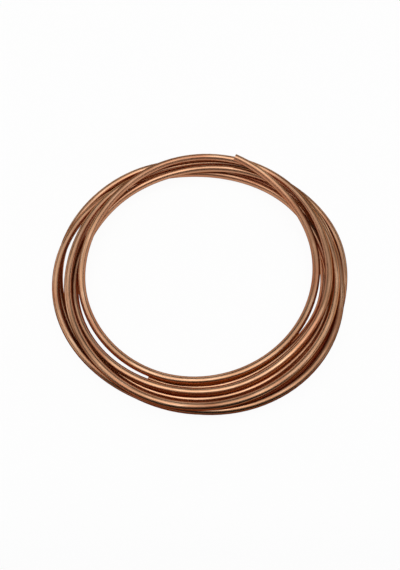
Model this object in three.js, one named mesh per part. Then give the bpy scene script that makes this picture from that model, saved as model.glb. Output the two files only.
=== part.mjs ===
// Loose coil of soft copper tube, lying flat: one length of tube, cut square at both ends.
// Millimetres, +Z up, the floor at z = 0.
import * as THREE from "three";

// The tube.
const TUBE_OD = 6.35; // 1/4 in
const WALL = 0.8;
const OUTER_SIDES = 12;
const INNER_SIDES = 8;
const STEPS_PER_TURN = 40;

// The route runs clockwise, seen from above, from the free end on top of the pile to the end
// on the floor. It is led by guides that stand every 30 degrees, and each row is one turn.
const START_DEG = 73.4;
const TURNS = 6.517;
const GUIDES_PER_TURN = 12;

// How far each guide stands from the middle of the coil.
const GUIDE_RADII = [
  [117.5, 111, 101.5, 98.5, 94.5, 94, 96, 99, 98, 98.5, 96.5, 100],
  [108.5, 114, 112, 105.5, 106, 102, 105.5, 106, 108, 105, 100.5, 100],
  [99.5, 107.5, 113.5, 111.5, 112, 114.5, 118, 120, 113.5, 109, 105, 107.5],
  [106, 115, 119.5, 115, 117, 123.5, 122, 117, 118, 120.5, 115.5, 110.5],
  [105, 104, 104, 103.5, 110, 107, 109, 110.5, 107.5, 108.5, 106.5, 115.5],
  [121, 120.5, 122.5, 125, 117, 120.5, 119, 117, 114, 116.5, 121.5, 117],
  [115.5, 111, 114.5, 104.5, 105, 97, 100, 102, 99.5, 97],
].flat();

// How high each guide holds the middle of the tube.
const GUIDE_HEIGHTS = [
  [31.5, 25, 18, 13, 11, 9.5, 9.5, 10, 9, 11, 16, 19.5],
  [20.5, 18, 18.5, 18, 16.5, 11, 8.5, 9, 10, 9.5, 7, 10],
  [12.5, 12, 11, 13.5, 14, 15, 16, 17.5, 16.5, 13.5, 14.5, 15],
  [12, 11, 8, 7, 10, 13, 9, 11, 9.5, 10.5, 13, 9],
  [4, 4, 9, 11, 8, 5.5, 3, 3.5, 3, 3.5, 3.5, 3],
  [3.5, 3.5, 3, 4, 3, 3.5, 3.5, 3.5, 3.5, 4.5, 3.5, 11],
  [9.5, 1, 6.5, 3, 3, 5, 3, 3.5, 3, 3],
].flat();

// A smooth cubic blend of the four guides around a place on the route.
function blend(guides, turn) {
  const at = turn * GUIDES_PER_TURN;
  const i = Math.min(Math.floor(at), guides.length - 4);
  const u = at - i;
  const shares = [
    (1 - u) ** 3,
    3 * u ** 3 - 6 * u ** 2 + 4,
    -3 * u ** 3 + 3 * u ** 2 + 3 * u + 1,
    u ** 3,
  ];
  return shares.reduce((sum, share, k) => sum + (share * guides[i + k]) / 6, 0);
}

function routePoint(turn) {
  const a = THREE.MathUtils.degToRad(START_DEG - 360 * turn);
  const r = blend(GUIDE_RADII, turn);
  return new THREE.Vector3(r * Math.cos(a), r * Math.sin(a), blend(GUIDE_HEIGHTS, turn));
}

const steps = Math.ceil(TURNS * STEPS_PER_TURN);
const points = [];
for (let i = 0; i <= steps; i++) {
  points.push(routePoint(Math.min(i / STEPS_PER_TURN, TURNS)));
}

// A ring of points square to the route, its first point level with the floor on the outer side.
function ringAt(i, radius, sides) {
  const before = points[Math.max(i - 1, 0)];
  const after = points[Math.min(i + 1, steps)];
  const along = new THREE.Vector3().subVectors(after, before).normalize();
  const side = new THREE.Vector3(0, 0, 1).cross(along).normalize();
  const up = new THREE.Vector3().crossVectors(along, side);
  const ring = [];
  for (let k = 0; k < sides; k++) {
    const a = (2 * Math.PI * k) / sides;
    const p = points[i].clone();
    p.addScaledVector(side, radius * Math.cos(a));
    p.addScaledVector(up, radius * Math.sin(a));
    ring.push(p);
  }
  return ring;
}

const positions = [];
const index = [];
function addRing(ring) {
  const first = positions.length / 3;
  for (const p of ring) {
    positions.push(p.x, p.y, p.z);
  }
  return first;
}
function addQuad(a, b, c, d) {
  index.push(a, b, c, a, c, d);
}

const outerR = TUBE_OD / 2;
const innerR = TUBE_OD / 2 - WALL;
const outer = [];
const inner = [];
for (let i = 0; i <= steps; i++) {
  outer.push(addRing(ringAt(i, outerR, OUTER_SIDES)));
  inner.push(addRing(ringAt(i, innerR, INNER_SIDES)));
}
for (let i = 0; i < steps; i++) {
  for (let k = 0; k < OUTER_SIDES; k++) {
    const n = (k + 1) % OUTER_SIDES;
    addQuad(outer[i] + k, outer[i] + n, outer[i + 1] + n, outer[i + 1] + k);
  }
  for (let k = 0; k < INNER_SIDES; k++) {
    const n = (k + 1) % INNER_SIDES;
    addQuad(inner[i] + n, inner[i] + k, inner[i + 1] + k, inner[i + 1] + n);
  }
}

// The cut face of one end: a flat ring between the outer and the bore, walked round by angle.
function addCutFace(i, facing) {
  let a = 0;
  let b = 0;
  while (a < OUTER_SIDES || b < INNER_SIDES) {
    const nextA = (a + 1) / OUTER_SIDES;
    const nextB = (b + 1) / INNER_SIDES;
    const o = outer[i] + (a % OUTER_SIDES);
    const n = inner[i] + (b % INNER_SIDES);
    let tri;
    if (b >= INNER_SIDES || (a < OUTER_SIDES && nextA <= nextB)) {
      tri = [o, n, outer[i] + ((a + 1) % OUTER_SIDES)];
      a += 1;
    } else {
      tri = [o, n, inner[i] + ((b + 1) % INNER_SIDES)];
      b += 1;
    }
    if (facing > 0) {
      tri.reverse();
    }
    index.push(...tri);
  }
}
addCutFace(0, -1);
addCutFace(steps, 1);

const geometry = new THREE.BufferGeometry();
geometry.setAttribute("position", new THREE.Float32BufferAttribute(positions, 3));
geometry.setIndex(index);

// The coil rests on the floor, with the origin under the middle of its box.
geometry.computeBoundingBox();
const box = geometry.boundingBox;
geometry.translate(-(box.min.x + box.max.x) / 2, -(box.min.y + box.max.y) / 2, -box.min.z);
geometry.computeVertexNormals();

const copper = new THREE.MeshStandardMaterial({
  color: 0xb87348,
  roughness: 0.3,
  metalness: 1,
});
const tube = new THREE.Mesh(geometry, copper);
tube.name = "copper_tube";

const coil = new THREE.Group();
coil.name = "copper_tube_coil";
coil.add(tube);
export default coil;
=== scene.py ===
"""A loose coil of soft copper tube on a white table, lit by a softbox overhead. Metres, +Z up."""
from math import ceil, cos, pi, radians, sin, tan

import bpy
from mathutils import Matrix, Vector


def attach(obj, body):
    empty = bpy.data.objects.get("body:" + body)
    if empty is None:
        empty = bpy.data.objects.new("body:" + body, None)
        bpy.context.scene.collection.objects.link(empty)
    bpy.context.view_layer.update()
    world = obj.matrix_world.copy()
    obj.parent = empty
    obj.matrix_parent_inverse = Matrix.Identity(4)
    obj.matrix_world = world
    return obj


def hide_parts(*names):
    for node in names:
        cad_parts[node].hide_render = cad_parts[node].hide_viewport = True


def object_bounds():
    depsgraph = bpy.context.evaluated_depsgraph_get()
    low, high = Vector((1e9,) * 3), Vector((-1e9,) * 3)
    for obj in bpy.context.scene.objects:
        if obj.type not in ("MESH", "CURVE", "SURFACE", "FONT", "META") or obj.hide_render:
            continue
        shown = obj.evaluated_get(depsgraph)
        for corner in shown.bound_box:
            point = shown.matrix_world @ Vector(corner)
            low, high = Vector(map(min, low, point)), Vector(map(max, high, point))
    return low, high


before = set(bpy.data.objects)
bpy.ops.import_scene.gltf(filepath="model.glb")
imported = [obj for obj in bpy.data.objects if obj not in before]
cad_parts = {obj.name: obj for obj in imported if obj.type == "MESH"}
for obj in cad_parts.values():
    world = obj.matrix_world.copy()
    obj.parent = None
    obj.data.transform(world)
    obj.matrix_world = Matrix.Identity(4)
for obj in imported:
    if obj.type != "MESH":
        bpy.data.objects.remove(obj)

CAD_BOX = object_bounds()
MM = 0.001

# ---------------------------------------------------------------- the tube, as the frame has it
TUBE_OD = 6.35 * MM
WALL = 0.8 * MM
START_DEG = 73.4
TURNS = 6.517
GUIDES_PER_TURN = 12

# The route is led by a guide every 30 degrees. Each row is one turn, in millimetres:
# how far the guides stand from the middle, and how high they hold the middle of the tube.
# Both lists come from the builder's least-squares fit to the strands in the photograph,
# rounded to half millimetres by a script. They are the same as in part.mjs.
GUIDE_RADII = [
    117.5, 111, 101.5, 98.5, 94.5, 94, 96, 99, 98, 98.5, 96.5, 100,
    108.5, 114, 112, 105.5, 106, 102, 105.5, 106, 108, 105, 100.5, 100,
    99.5, 107.5, 113.5, 111.5, 112, 114.5, 118, 120, 113.5, 109, 105, 107.5,
    106, 115, 119.5, 115, 117, 123.5, 122, 117, 118, 120.5, 115.5, 110.5,
    105, 104, 104, 103.5, 110, 107, 109, 110.5, 107.5, 108.5, 106.5, 115.5,
    121, 120.5, 122.5, 125, 117, 120.5, 119, 117, 114, 116.5, 121.5, 117,
    115.5, 111, 114.5, 104.5, 105, 97, 100, 102, 99.5, 97,
]
GUIDE_HEIGHTS = [
    31.5, 25, 18, 13, 11, 9.5, 9.5, 10, 9, 11, 16, 19.5,
    20.5, 18, 18.5, 18, 16.5, 11, 8.5, 9, 10, 9.5, 7, 10,
    12.5, 12, 11, 13.5, 14, 15, 16, 17.5, 16.5, 13.5, 14.5, 15,
    12, 11, 8, 7, 10, 13, 9, 11, 9.5, 10.5, 13, 9,
    4, 4, 9, 11, 8, 5.5, 3, 3.5, 3, 3.5, 3.5, 3,
    3.5, 3.5, 3, 4, 3, 3.5, 3.5, 3.5, 3.5, 4.5, 3.5, 11,
    9.5, 1, 6.5, 3, 3, 5, 3, 3.5, 3, 3,
]

# Finer than the frame's own solid.
STEPS_PER_TURN = 120
OUTER_SIDES = 48
CUT_ROUND = 0.18 * MM      # the cutter rounds the outer edge of each cut
CUT_ROUND_STEPS = 4


def blend(guides, turn):
    """A smooth cubic blend of the four guides around a place on the route."""
    at = turn * GUIDES_PER_TURN
    i = min(int(at), len(guides) - 4)
    u = at - i
    shares = ((1 - u) ** 3, 3 * u**3 - 6 * u**2 + 4, -3 * u**3 + 3 * u**2 + 3 * u + 1, u**3)
    return sum(share * guides[i + k] for k, share in enumerate(shares)) / 6


def route_point(turn):
    a = radians(START_DEG - 360 * turn)
    r = blend(GUIDE_RADII, turn) * MM
    return Vector((r * cos(a), r * sin(a), blend(GUIDE_HEIGHTS, turn) * MM))


def route():
    steps = ceil(TURNS * STEPS_PER_TURN)
    return [route_point(min(i / STEPS_PER_TURN, TURNS)) for i in range(steps + 1)]


def section_axes(points, i):
    before = points[max(i - 1, 0)]
    after = points[min(i + 1, len(points) - 1)]
    along = (after - before).normalized()
    side = Vector((0, 0, 1)).cross(along).normalized()
    return along, side, along.cross(side)


def seated(verts):
    """The points centred over the origin and drawn in to the frame's box, which has flatter bends."""
    low = [min(v[k] for v in verts) for k in range(3)]
    high = [max(v[k] for v in verts) for k in range(3)]
    room = [CAD_BOX[1][k] - CAD_BOX[0][k] for k in range(3)]
    scale = [min(1.0, room[k] / (high[k] - low[k])) for k in range(3)]
    middle = [(low[k] + high[k]) / 2 for k in range(2)]
    return [
        Vector(((v[0] - middle[0]) * scale[0], (v[1] - middle[1]) * scale[1],
                (v[2] - low[2]) * scale[2]))
        for v in verts
    ]


def make_tube():
    """The tube as one closed skin: the outside, a rounded cut edge at each end, and the bore."""
    points = route()
    last = len(points) - 1
    verts, faces, drawn = [], [], []
    run = 0.0

    def ring(centre, side, up, radius, sides, travel):
        first = len(verts)
        for k in range(sides):
            a = 2 * pi * k / sides
            verts.append(centre + side * (radius * cos(a)) + up * (radius * sin(a)))
            drawn.append((travel, cos(a), sin(a)))
        return first

    def band(a, b, sides, flip=False):
        for k in range(sides):
            n = (k + 1) % sides
            face = (a + k, a + n, b + n, b + k)
            faces.append(face[::-1] if flip else face)

    outer_r, bore_r = TUBE_OD / 2, TUBE_OD / 2 - WALL
    rims = []
    outer, bore = [], []
    for i, p in enumerate(points):
        if i:
            run += (p - points[i - 1]).length
        along, side, up = section_axes(points, i)
        if i in (0, last):
            # The rounded edge steps in towards the cut, then the flat cut face is on the end plane.
            inward = along if i == 0 else -along
            edge = []
            for k in range(CUT_ROUND_STEPS + 1):
                a = pi / 2 * k / CUT_ROUND_STEPS
                back = CUT_ROUND * (1 - sin(a))
                edge.append(ring(p + inward * back, side, up,
                                 outer_r - CUT_ROUND * (1 - cos(a)), OUTER_SIDES, run))
            lip = ring(p, side, up, bore_r, OUTER_SIDES, run)
            rims.append((edge, lip))
            outer.append(edge[0])
            bore.append(lip)
            continue
        outer.append(ring(p, side, up, outer_r, OUTER_SIDES, run))
        bore.append(ring(p, side, up, bore_r, OUTER_SIDES, run))
    for i in range(last):
        band(outer[i], outer[i + 1], OUTER_SIDES)
        band(bore[i], bore[i + 1], OUTER_SIDES, flip=True)
    sawn_from = len(faces)
    for n, (edge, lip) in enumerate(rims):
        chain = edge + [lip]
        for a, b in zip(chain, chain[1:]):
            band(a, b, OUTER_SIDES, flip=(n == 0))

    mesh = bpy.data.meshes.new("copper_tube_fine")
    mesh.from_pydata(seated(verts), [], faces)
    mesh.update()
    mesh.polygons.foreach_set("use_smooth", [True] * len(mesh.polygons))
    lay = mesh.attributes.new("drawn", "FLOAT_VECTOR", "POINT")
    lay.data.foreach_set("vector", [c for d in drawn for c in d])
    lay = mesh.attributes.new("cut", "FLOAT", "FACE")
    lay.data.foreach_set("value", [1.0 if i >= sawn_from else 0.0 for i in range(len(faces))])
    tube = bpy.data.objects.new("copper_tube_fine", mesh)
    bpy.context.collection.objects.link(tube)
    return tube


# ---------------------------------------------------------------- copper
TOP_HIGHLIGHT_COLOUR = (0.52, 0.276, 0.152)     # painted highlight: the colour for the top of the tube, where it faces up
HIGHLIGHT_STREAK_COLOUR = (0.84, 0.580, 0.410)   # painted highlight: brighter streaks along the top
INNER_SIDE_SHADE = (0.49, 0.240, 0.138)     # painted shade: the side towards the eye of the coil, darker than the top
OUTER_SIDE_SHADE = (0.59, 0.205, 0.072)    # painted shade: the side away from it, browner
OUTERMOST_SHADE = (0.17, 0.053, 0.022)  # painted shade: the outward side of the outermost turns
MAHOGANY = (0.40, 0.095, 0.036)   # patches of thicker film
FRESH_CUT = (0.70, 0.40, 0.28)    # the sawn ring at each end
BRIGHTEST = (0.96, 0.74, 0.60)    # bare copper, which no place outshines
GRAZING_TINT = (0.12, 0.06, 0.03, 1)
FILM_STRETCH = 60 * MM            # how long a stretch of thicker or thinner film is
# Shares of film added to what is usual, at its thinnest and at its thickest.
FILM_THINNEST, FILM_THICKEST = -0.25, 0.55



class Nodes:
    """Short calls for making and linking shader nodes."""

    def __init__(self, material):
        material.use_nodes = True
        self.tree = material.node_tree
        self.tree.nodes.clear()

    def node(self, kind, inputs=None, **settings):
        made = self.tree.nodes.new("ShaderNode" + kind)
        for name, value in settings.items():
            setattr(made, name, value)
        for key, value in (inputs or {}).items():
            if isinstance(value, bpy.types.NodeSocket):
                self.tree.links.new(value, made.inputs[key])
            else:
                made.inputs[key].default_value = value
        return made

    def math(self, operation, a, b=0.0, clamp=False):
        return self.node("Math", {0: a, 1: b}, operation=operation, use_clamp=clamp).outputs[0]

    def remap(self, value, low, high, to_low=0.0, to_high=1.0):
        ends = {"Value": value, "From Min": low, "From Max": high, "To Min": to_low, "To Max": to_high}
        return self.node("MapRange", ends, interpolation_type="SMOOTHSTEP").outputs["Result"]

    def mix(self, share, a, b):
        made = self.node("Mix", data_type="RGBA")
        for socket, value in ((made.inputs["Factor"], share), (made.inputs[6], a), (made.inputs[7], b)):
            if isinstance(value, bpy.types.NodeSocket):
                self.tree.links.new(value, socket)
            else:
                socket.default_value = value if isinstance(value, float) else (*value, 1.0)
        return made.outputs[2]

    def noise(self, place, scale, detail=3.0):
        return self.node("TexNoise", {"Vector": place, "Scale": scale, "Detail": detail}).outputs["Fac"]


def copper_material():
    mat = bpy.data.materials.new("copper")
    n = Nodes(mat)
    drawn = n.node("Attribute", attribute_name="drawn").outputs["Vector"]
    travel, across, up = n.node("SeparateXYZ", {0: drawn}).outputs

    def along(run, round_it):
        """A place on the skin for noise: stretched so one step is run metres along the tube."""
        far = n.math("DIVIDE", travel, run)
        return n.node("CombineXYZ", {0: far, 1: n.math("MULTIPLY", across, round_it),
                                     2: n.math("MULTIPLY", up, round_it)}).outputs[0]

    # How much thicker than usual the film is: slow, uneven stretches along the tube.
    stretches = n.noise(along(FILM_STRETCH, 0.3), 1.0, 2.0)
    film_share = n.remap(stretches, 0.32, 0.68, FILM_THINNEST, FILM_THICKEST)
    patches = n.noise(along(0.045, 0.5), 1.0)
    streaks = n.noise(along(0.030, 3.0), 1.0, 4.0)
    lines = n.noise(along(0.020, 12.0), 1.0, 2.0)
    scuffs = n.noise(along(0.004, 6.0), 1.0, 2.0)

    # Painted shade on the sides: darker than the top, browner away from the eye, and darkest on the
    # outward side of the outermost turns, less so where the random film is thin.
    place = n.node("TexCoord").outputs["Object"]
    reach = n.node("VectorMath", {0: place, 1: (1, 1, 0)}, operation="MULTIPLY").outputs[0]
    reach = n.node("VectorMath", {0: reach}, operation="LENGTH").outputs["Value"]
    side_shade_colour = n.mix(n.remap(across, -0.4, 0.4), INNER_SIDE_SHADE, OUTER_SIDE_SHADE)
    # Painted shade on the outward side of the outermost turns, weaker where the random film is thin.
    outer_shade_mask = n.math("MULTIPLY", n.remap(reach, 0.108, 0.120), n.remap(across, 0.1, 0.8))
    outer_shade_by_film = n.math("ADD", 1.0, n.math("MULTIPLY", film_share, 1.5))
    outer_shade_mask = n.math("MULTIPLY", outer_shade_mask, outer_shade_by_film, clamp=True)
    side_shade_colour = n.mix(outer_shade_mask, side_shade_colour, OUTERMOST_SHADE)

    # Painted highlight on the top: where the tube faces up it takes brighter colours, in brighter
    # streaks, down to an uneven edge that reaches a little further on the outer side, with less of it
    # where the film is thick.
    uneven = n.math("MULTIPLY", n.math("SUBTRACT", streaks, 0.5), 0.5)
    facing_up = n.math("ADD", up, n.math("MULTIPLY", across, 0.14))
    top_highlight_mask = n.remap(n.math("ADD", facing_up, uneven), 0.55, 1.0)
    painted_top_highlight = n.mix(n.remap(lines, 0.50, 0.72), TOP_HIGHLIGHT_COLOUR, HIGHLIGHT_STREAK_COLOUR)
    bare = n.math("SUBTRACT", 1.0, n.math("MULTIPLY", film_share, 0.5))
    colour = n.mix(n.math("MULTIPLY", top_highlight_mask, bare, clamp=True), side_shade_colour, painted_top_highlight)
    colour = n.mix(n.remap(patches, 0.50, 0.75, 0.0, 0.45), colour, MAHOGANY)
    tone = n.math("MULTIPLY", n.remap(streaks, 0.30, 0.70, 0.88, 1.10),
                  n.remap(scuffs, 0.60, 0.75, 1.0, 0.80))
    dulled = n.math("MULTIPLY", n.math("MULTIPLY", film_share, top_highlight_mask), 0.65)
    tone = n.math("MULTIPLY", tone, n.math("SUBTRACT", 1.0, dulled))
    shaded = n.node("VectorMath", {0: colour, "Scale": tone}, operation="SCALE").outputs[0]
    shaded = n.node("VectorMath", {0: shaded, 1: BRIGHTEST}, operation="MINIMUM").outputs[0]
    cut = n.node("Attribute", attribute_name="cut").outputs["Fac"]
    shaded = n.mix(cut, shaded, FRESH_CUT)

    rough = n.remap(n.math("ADD", patches, n.math("MULTIPLY", lines, 0.5)), 0.5, 1.0, 0.19, 0.32)
    rough = n.math("ADD", rough, n.math("MULTIPLY", film_share, 0.08))
    bump = n.node("Bump", {"Height": lines, "Strength": 0.15, "Distance": 0.0001}).outputs["Normal"]
    bsdf = n.node("BsdfPrincipled", {
        "Base Color": shaded, "Metallic": 1.0, "Roughness": rough, "Normal": bump,
        "Specular Tint": GRAZING_TINT,
    })
    n.node("OutputMaterial", {"Surface": bsdf.outputs[0]})
    return mat


# ---------------------------------------------------------------- the table, the lamps, the camera
CAMERA_TARGET = Vector((-1.33, -15.64, 8.04)) * MM
CAMERA_DISTANCE = 440 * MM
CAMERA_ELEVATION_DEG = 62
PHOTO_HEIGHT_PX = 570
FOCAL_PX = 535
SENSOR_HEIGHT = 24.0


def make_camera():
    data = bpy.data.cameras.new("camera")
    data.sensor_fit = "VERTICAL"
    data.sensor_height = SENSOR_HEIGHT
    data.lens = FOCAL_PX / PHOTO_HEIGHT_PX * SENSOR_HEIGHT
    data.clip_start = 0.01
    camera = bpy.data.objects.new("camera", data)
    el = radians(CAMERA_ELEVATION_DEG)
    camera.location = CAMERA_TARGET + CAMERA_DISTANCE * Vector((0, -cos(el), sin(el)))
    camera.rotation_euler = (pi / 2 - el, 0, 0)
    bpy.context.collection.objects.link(camera)
    bpy.context.scene.camera = camera


FLOOR_R = 2.5
WALL_R = 0.8                # the sweep from the table up into the backdrop
WALL_H = 1.4
STAGE_SIDES = 96
SWEEP_STEPS = 8
MATT = 0.9
FLOOR_COLOUR = (0.97, 0.97, 0.97, 1)
FLOOR_WHITE_SHARE = 0.95
WALL_TOP_WHITE_SHARE = 0.45


def whiten(tree, floor_shader):
    """Mixes white in for what sees the stage, less towards the top of its wall."""
    path = tree.nodes.new("ShaderNodeLightPath")
    seen = path.outputs["Is Camera Ray"]
    for ray in ("Is Glossy Ray", "Is Transmission Ray"):
        either = tree.nodes.new("ShaderNodeMath")
        either.operation = "MAXIMUM"
        tree.links.new(seen, either.inputs[0])
        tree.links.new(path.outputs[ray], either.inputs[1])
        seen = either.outputs[0]
    place = tree.nodes.new("ShaderNodeTexCoord")
    split = tree.nodes.new("ShaderNodeSeparateXYZ")
    tree.links.new(place.outputs["Object"], split.inputs[0])
    white_share = tree.nodes.new("ShaderNodeMapRange")
    white_share.inputs["From Max"].default_value = WALL_H
    white_share.inputs["To Min"].default_value = FLOOR_WHITE_SHARE
    white_share.inputs["To Max"].default_value = WALL_TOP_WHITE_SHARE
    tree.links.new(split.outputs["Z"], white_share.inputs["Value"])
    share = tree.nodes.new("ShaderNodeMath")
    share.operation = "MULTIPLY"
    tree.links.new(seen, share.inputs[0])
    tree.links.new(white_share.outputs["Result"], share.inputs[1])
    white = tree.nodes.new("ShaderNodeEmission")
    mix = tree.nodes.new("ShaderNodeMixShader")
    tree.links.new(share.outputs[0], mix.inputs[0])
    tree.links.new(floor_shader.outputs[0], mix.inputs[1])
    tree.links.new(white.outputs[0], mix.inputs[2])
    tree.links.new(mix.outputs[0], tree.nodes["Material Output"].inputs[0])


def make_stage():
    """A round table top that sweeps up into a backdrop all round."""
    profile = [(0.0, 0.0), (0.4, 0.0), (1.0, 0.0), (FLOOR_R, 0.0)]
    for k in range(1, SWEEP_STEPS + 1):
        a = pi / 2 * k / SWEEP_STEPS
        profile.append((FLOOR_R + WALL_R * sin(a), WALL_R * (1 - cos(a))))
    profile.append((FLOOR_R + WALL_R, WALL_H))
    sides = STAGE_SIDES
    verts = [(0, 0, 0)]
    faces = []
    for r, z in profile[1:]:
        verts += [(r * cos(2 * pi * k / sides), r * sin(2 * pi * k / sides), z) for k in range(sides)]
    for k in range(sides):
        faces.append((0, 1 + k, 1 + (k + 1) % sides))
    for i in range(len(profile) - 2):
        a, b = 1 + i * sides, 1 + (i + 1) * sides
        for k in range(sides):
            n = (k + 1) % sides
            faces.append((a + k, b + k, b + n, a + n))
    mesh = bpy.data.meshes.new("floor")
    mesh.from_pydata(verts, [], faces)
    mesh.polygons.foreach_set("use_smooth", [True] * len(mesh.polygons))
    mat = bpy.data.materials.new("floor")
    mat.use_nodes = True
    bsdf = mat.node_tree.nodes["Principled BSDF"]
    bsdf.inputs["Base Color"].default_value = FLOOR_COLOUR
    bsdf.inputs["Roughness"].default_value = MATT
    bsdf.inputs["Specular IOR Level"].default_value = 0.0
    whiten(mat.node_tree, bsdf)
    mesh.materials.append(mat)
    floor = bpy.data.objects.new("floor", mesh)
    bpy.context.collection.objects.link(floor)


CARD_HALF_WIDTH = 0.45
CARD_Y = -0.235
CARD_H = 0.1
CARD_COLOUR = (0.01, 0.01, 0.01, 1)


def make_card():
    """A black card out of the picture, below it, that keeps the near sides of the tube dark."""
    w, y, h = CARD_HALF_WIDTH, CARD_Y, CARD_H
    mesh = bpy.data.meshes.new("card")
    mesh.from_pydata([(-w, y, 0), (w, y, 0), (w, y, h), (-w, y, h)], [], [(0, 1, 2, 3)])
    mat = bpy.data.materials.new("card")
    mat.use_nodes = True
    bsdf = mat.node_tree.nodes["Principled BSDF"]
    bsdf.inputs["Base Color"].default_value = CARD_COLOUR
    bsdf.inputs["Roughness"].default_value = MATT
    mesh.materials.append(mat)
    card = bpy.data.objects.new("card", mesh)
    card.visible_camera = False
    bpy.context.collection.objects.link(card)


LAMP_DISTANCE = 3.0
LAMPS = {
    # angle up from the horizon on the camera's side, half its width and depth seen from the coil
    # (all degrees), and radiance
    "softbox": (93, 52, 30, 1.04),
    "near edge": (63, 40, 15, 0.53),
    "core": (87, 26, 11, 1.02),
    "far fill": (143, 52, 19, 0.12),
}
WORLD_LEVEL = 0.02


def make_lamps():
    for name, (rise, half_x, half_y, radiance) in LAMPS.items():
        width, depth = (2 * LAMP_DISTANCE * tan(radians(a)) for a in (half_x, half_y))
        data = bpy.data.lights.new(name, "AREA")
        data.shape = "RECTANGLE"
        data.size, data.size_y = width, depth
        data.energy = radiance * pi * width * depth
        lamp = bpy.data.objects.new(name, data)
        lamp.location = LAMP_DISTANCE * Vector((0, -cos(radians(rise)), sin(radians(rise))))
        lamp.rotation_euler = (radians(90 - rise), 0, 0)
        bpy.context.collection.objects.link(lamp)
    world = bpy.data.worlds.new("world")
    world.use_nodes = True
    world.node_tree.nodes["Background"].inputs[0].default_value = (1, 1, 1, 1)
    world.node_tree.nodes["Background"].inputs[1].default_value = WORLD_LEVEL
    bpy.context.scene.world = world


tube = make_tube()
tube.data.materials.append(copper_material())
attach(tube, "root")
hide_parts("copper_tube")

make_stage()
make_card()
make_lamps()
make_camera()
bpy.context.scene.view_settings.view_transform = "Standard"
